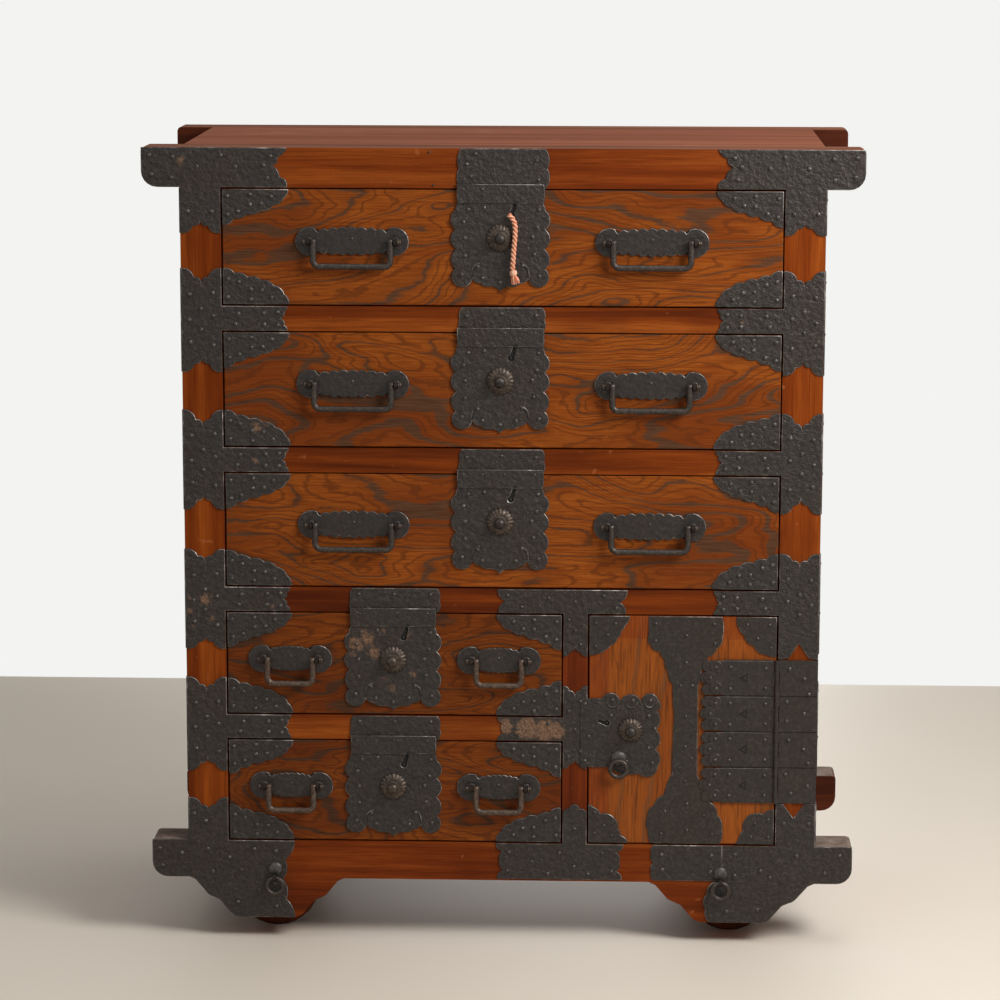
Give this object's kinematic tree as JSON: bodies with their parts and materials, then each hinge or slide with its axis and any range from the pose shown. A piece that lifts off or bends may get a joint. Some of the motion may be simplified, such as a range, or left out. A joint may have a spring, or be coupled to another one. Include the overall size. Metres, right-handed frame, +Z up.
{
  "type": "wheeled drawer chest",
  "caption": "Wooden chest on disc wheels with iron fittings: full-width drawers over small drawers beside a cupboard.",
  "frame": {"origin": "on the floor under the middle of the whole object", "axes": "+Z up, -Y towards the drawer fronts, +X to the right of someone facing the fronts"},
  "size_m": [0.9, 0.423, 1.02],
  "materials": {
    "zelkova_front": "oiled, dark grain",
    "zelkova_door": "oiled, fine straight grain",
    "lacquered_frame": "lacquered, worn",
    "top_wood": "matte, worn",
    "plain_wood": "bare",
    "wheel_wood": "bare, dark",
    "forged_iron": "forged, blackened, worn edges",
    "dark_bronze": "dark patina",
    "key_string": "twisted string"
  },
  "bodies": {
    "case": {"left_side": "lacquered_frame", "right_side": "lacquered_frame", "middle_post": "lacquered_frame", "top_board": "top_wood", "bottom_board": "plain_wood", "back_board": "plain_wood", "top_front_beam": "lacquered_frame", "top_rear_beam": "lacquered_frame", "base_front_beam": "lacquered_frame", "base_rear_beam": "lacquered_frame", "upper_rail": "lacquered_frame", "middle_rail": "lacquered_frame", "lower_rail": "lacquered_frame", "short_rail": "lacquered_frame", "left_axle": "wheel_wood", "right_axle": "wheel_wood", "door_hinge_plate": "forged_iron"},
    "front_left_wheel": {"front_left_wheel": "wheel_wood"},
    "rear_left_wheel": {"rear_left_wheel": "wheel_wood"},
    "front_right_wheel": {"front_right_wheel": "wheel_wood"},
    "rear_right_wheel": {"rear_right_wheel": "wheel_wood"},
    "top_drawer": {"top_drawer_front": "zelkova_front", "top_drawer_box": "plain_wood", "top_drawer_lock_plate": "forged_iron", "key_cord": "key_string", "key_tassel": "key_string"},
    "top_drawer_knob": {"top_drawer_knob": "dark_bronze"},
    "top_drawer_left_bail": {"top_drawer_left_bail": "forged_iron"},
    "top_drawer_right_bail": {"top_drawer_right_bail": "forged_iron"},
    "second_drawer": {"second_drawer_front": "zelkova_front", "second_drawer_box": "plain_wood", "second_drawer_lock_plate": "forged_iron"},
    "second_drawer_knob": {"second_drawer_knob": "dark_bronze"},
    "second_drawer_left_bail": {"second_drawer_left_bail": "forged_iron"},
    "second_drawer_right_bail": {"second_drawer_right_bail": "forged_iron"},
    "third_drawer": {"third_drawer_front": "zelkova_front", "third_drawer_box": "plain_wood", "third_drawer_lock_plate": "forged_iron"},
    "third_drawer_knob": {"third_drawer_knob": "dark_bronze"},
    "third_drawer_left_bail": {"third_drawer_left_bail": "forged_iron"},
    "third_drawer_right_bail": {"third_drawer_right_bail": "forged_iron"},
    "upper_small_drawer": {"upper_small_drawer_front": "zelkova_front", "upper_small_drawer_box": "plain_wood", "upper_small_drawer_lock_plate": "forged_iron"},
    "upper_small_drawer_knob": {"upper_small_drawer_knob": "dark_bronze"},
    "upper_small_drawer_left_bail": {"upper_small_drawer_left_bail": "forged_iron"},
    "upper_small_drawer_right_bail": {"upper_small_drawer_right_bail": "forged_iron"},
    "lower_small_drawer": {"lower_small_drawer_front": "zelkova_front", "lower_small_drawer_box": "plain_wood", "lower_small_drawer_lock_plate": "forged_iron"},
    "lower_small_drawer_knob": {"lower_small_drawer_knob": "dark_bronze"},
    "lower_small_drawer_left_bail": {"lower_small_drawer_left_bail": "forged_iron"},
    "lower_small_drawer_right_bail": {"lower_small_drawer_right_bail": "forged_iron"},
    "door": {"door": "zelkova_door", "door_hinge_straps": "forged_iron", "door_lock_plate": "forged_iron"},
    "door_knob": {"door_knob": "dark_bronze"},
    "door_ring": {"door_ring": "forged_iron"},
    "left_base_ring": {"left_base_ring": "forged_iron"},
    "right_base_ring": {"right_base_ring": "forged_iron"}
  },
  "joints": [
    {"name": "front_left_wheel_spin", "type": "hinge", "parent": "case", "child": "front_left_wheel", "pos_m": [-0.295, -0.12145, 0.055], "axis": [0, 1, 0], "continuous": true},
    {"name": "rear_left_wheel_spin", "type": "hinge", "parent": "case", "child": "rear_left_wheel", "pos_m": [-0.295, 0.14155, 0.055], "axis": [0, 1, 0], "continuous": true},
    {"name": "front_right_wheel_spin", "type": "hinge", "parent": "case", "child": "front_right_wheel", "pos_m": [0.295, -0.12145, 0.055], "axis": [0, 1, 0], "continuous": true},
    {"name": "rear_right_wheel_spin", "type": "hinge", "parent": "case", "child": "rear_right_wheel", "pos_m": [0.295, 0.14155, 0.055], "axis": [0, 1, 0], "continuous": true},
    {"name": "top_drawer_slide", "type": "slide", "parent": "case", "child": "top_drawer", "axis": [0, -1, 0], "range_m": [0, 0.28]},
    {"name": "top_drawer_knob_push", "type": "slide", "parent": "top_drawer", "child": "top_drawer_knob", "axis": [0, 1, 0], "range_m": [0, 0.003], "stiffness_N_per_m": 600, "springref_m": -0.001},
    {"name": "top_drawer_left_bail_swing", "type": "hinge", "parent": "top_drawer", "child": "top_drawer_left_bail", "pos_m": [-0.18699, -0.20095, 0.9035], "axis": [-1, 0, 0], "range_deg": [-6, 165]},
    {"name": "top_drawer_right_bail_swing", "type": "hinge", "parent": "top_drawer", "child": "top_drawer_right_bail", "pos_m": [0.18699, -0.20095, 0.9035], "axis": [-1, 0, 0], "range_deg": [-6, 165]},
    {"name": "second_drawer_slide", "type": "slide", "parent": "case", "child": "second_drawer", "axis": [0, -1, 0], "range_m": [0, 0.28]},
    {"name": "second_drawer_knob_push", "type": "slide", "parent": "second_drawer", "child": "second_drawer_knob", "axis": [0, 1, 0], "range_m": [0, 0.003], "stiffness_N_per_m": 600, "springref_m": -0.001},
    {"name": "second_drawer_left_bail_swing", "type": "hinge", "parent": "second_drawer", "child": "second_drawer_left_bail", "pos_m": [-0.18699, -0.20095, 0.724], "axis": [-1, 0, 0], "range_deg": [-6, 165]},
    {"name": "second_drawer_right_bail_swing", "type": "hinge", "parent": "second_drawer", "child": "second_drawer_right_bail", "pos_m": [0.18699, -0.20095, 0.724], "axis": [-1, 0, 0], "range_deg": [-6, 165]},
    {"name": "third_drawer_slide", "type": "slide", "parent": "case", "child": "third_drawer", "axis": [0, -1, 0], "range_m": [0, 0.28]},
    {"name": "third_drawer_knob_push", "type": "slide", "parent": "third_drawer", "child": "third_drawer_knob", "axis": [0, 1, 0], "range_m": [0, 0.003], "stiffness_N_per_m": 600, "springref_m": -0.001},
    {"name": "third_drawer_left_bail_swing", "type": "hinge", "parent": "third_drawer", "child": "third_drawer_left_bail", "pos_m": [-0.18699, -0.20095, 0.5445], "axis": [-1, 0, 0], "range_deg": [-6, 165]},
    {"name": "third_drawer_right_bail_swing", "type": "hinge", "parent": "third_drawer", "child": "third_drawer_right_bail", "pos_m": [0.18699, -0.20095, 0.5445], "axis": [-1, 0, 0], "range_deg": [-6, 165]},
    {"name": "upper_small_drawer_slide", "type": "slide", "parent": "case", "child": "upper_small_drawer", "axis": [0, -1, 0], "range_m": [0, 0.28]},
    {"name": "upper_small_drawer_knob_push", "type": "slide", "parent": "upper_small_drawer", "child": "upper_small_drawer_knob", "axis": [0, 1, 0], "range_m": [0, 0.003], "stiffness_N_per_m": 600, "springref_m": -0.001},
    {"name": "upper_small_drawer_left_bail_swing", "type": "hinge", "parent": "upper_small_drawer", "child": "upper_small_drawer_left_bail", "pos_m": [-0.26928, -0.20095, 0.37], "axis": [-1, 0, 0], "range_deg": [-6, 165]},
    {"name": "upper_small_drawer_right_bail_swing", "type": "hinge", "parent": "upper_small_drawer", "child": "upper_small_drawer_right_bail", "pos_m": [-0.00322, -0.20095, 0.37], "axis": [-1, 0, 0], "range_deg": [-6, 165]},
    {"name": "lower_small_drawer_slide", "type": "slide", "parent": "case", "child": "lower_small_drawer", "axis": [0, -1, 0], "range_m": [0, 0.28]},
    {"name": "lower_small_drawer_knob_push", "type": "slide", "parent": "lower_small_drawer", "child": "lower_small_drawer_knob", "axis": [0, 1, 0], "range_m": [0, 0.003], "stiffness_N_per_m": 600, "springref_m": -0.001},
    {"name": "lower_small_drawer_left_bail_swing", "type": "hinge", "parent": "lower_small_drawer", "child": "lower_small_drawer_left_bail", "pos_m": [-0.26928, -0.20095, 0.2035], "axis": [-1, 0, 0], "range_deg": [-6, 165]},
    {"name": "lower_small_drawer_right_bail_swing", "type": "hinge", "parent": "lower_small_drawer", "child": "lower_small_drawer_right_bail", "pos_m": [-0.00322, -0.20095, 0.2035], "axis": [-1, 0, 0], "range_deg": [-6, 165]},
    {"name": "door_hinge", "type": "hinge", "parent": "case", "child": "door", "pos_m": [0.3501, -0.19455, 0.13], "axis": [0, 0, 1], "range_deg": [0, 165]},
    {"name": "door_knob_push", "type": "slide", "parent": "door", "child": "door_knob", "axis": [0, 1, 0], "range_m": [0, 0.003], "stiffness_N_per_m": 600, "springref_m": -0.001},
    {"name": "door_ring_swing", "type": "hinge", "parent": "door", "child": "door_ring", "pos_m": [0.15, -0.20095, 0.242], "axis": [-1, 0, 0], "range_deg": [-10, 110]},
    {"name": "left_base_ring_swing", "type": "hinge", "parent": "case", "child": "left_base_ring", "pos_m": [-0.291, -0.20095, 0.082], "axis": [-1, 0, 0], "range_deg": [-10, 110]},
    {"name": "right_base_ring_swing", "type": "hinge", "parent": "case", "child": "right_base_ring", "pos_m": [0.282, -0.20095, 0.082], "axis": [-1, 0, 0], "range_deg": [-10, 110]}
  ]
}
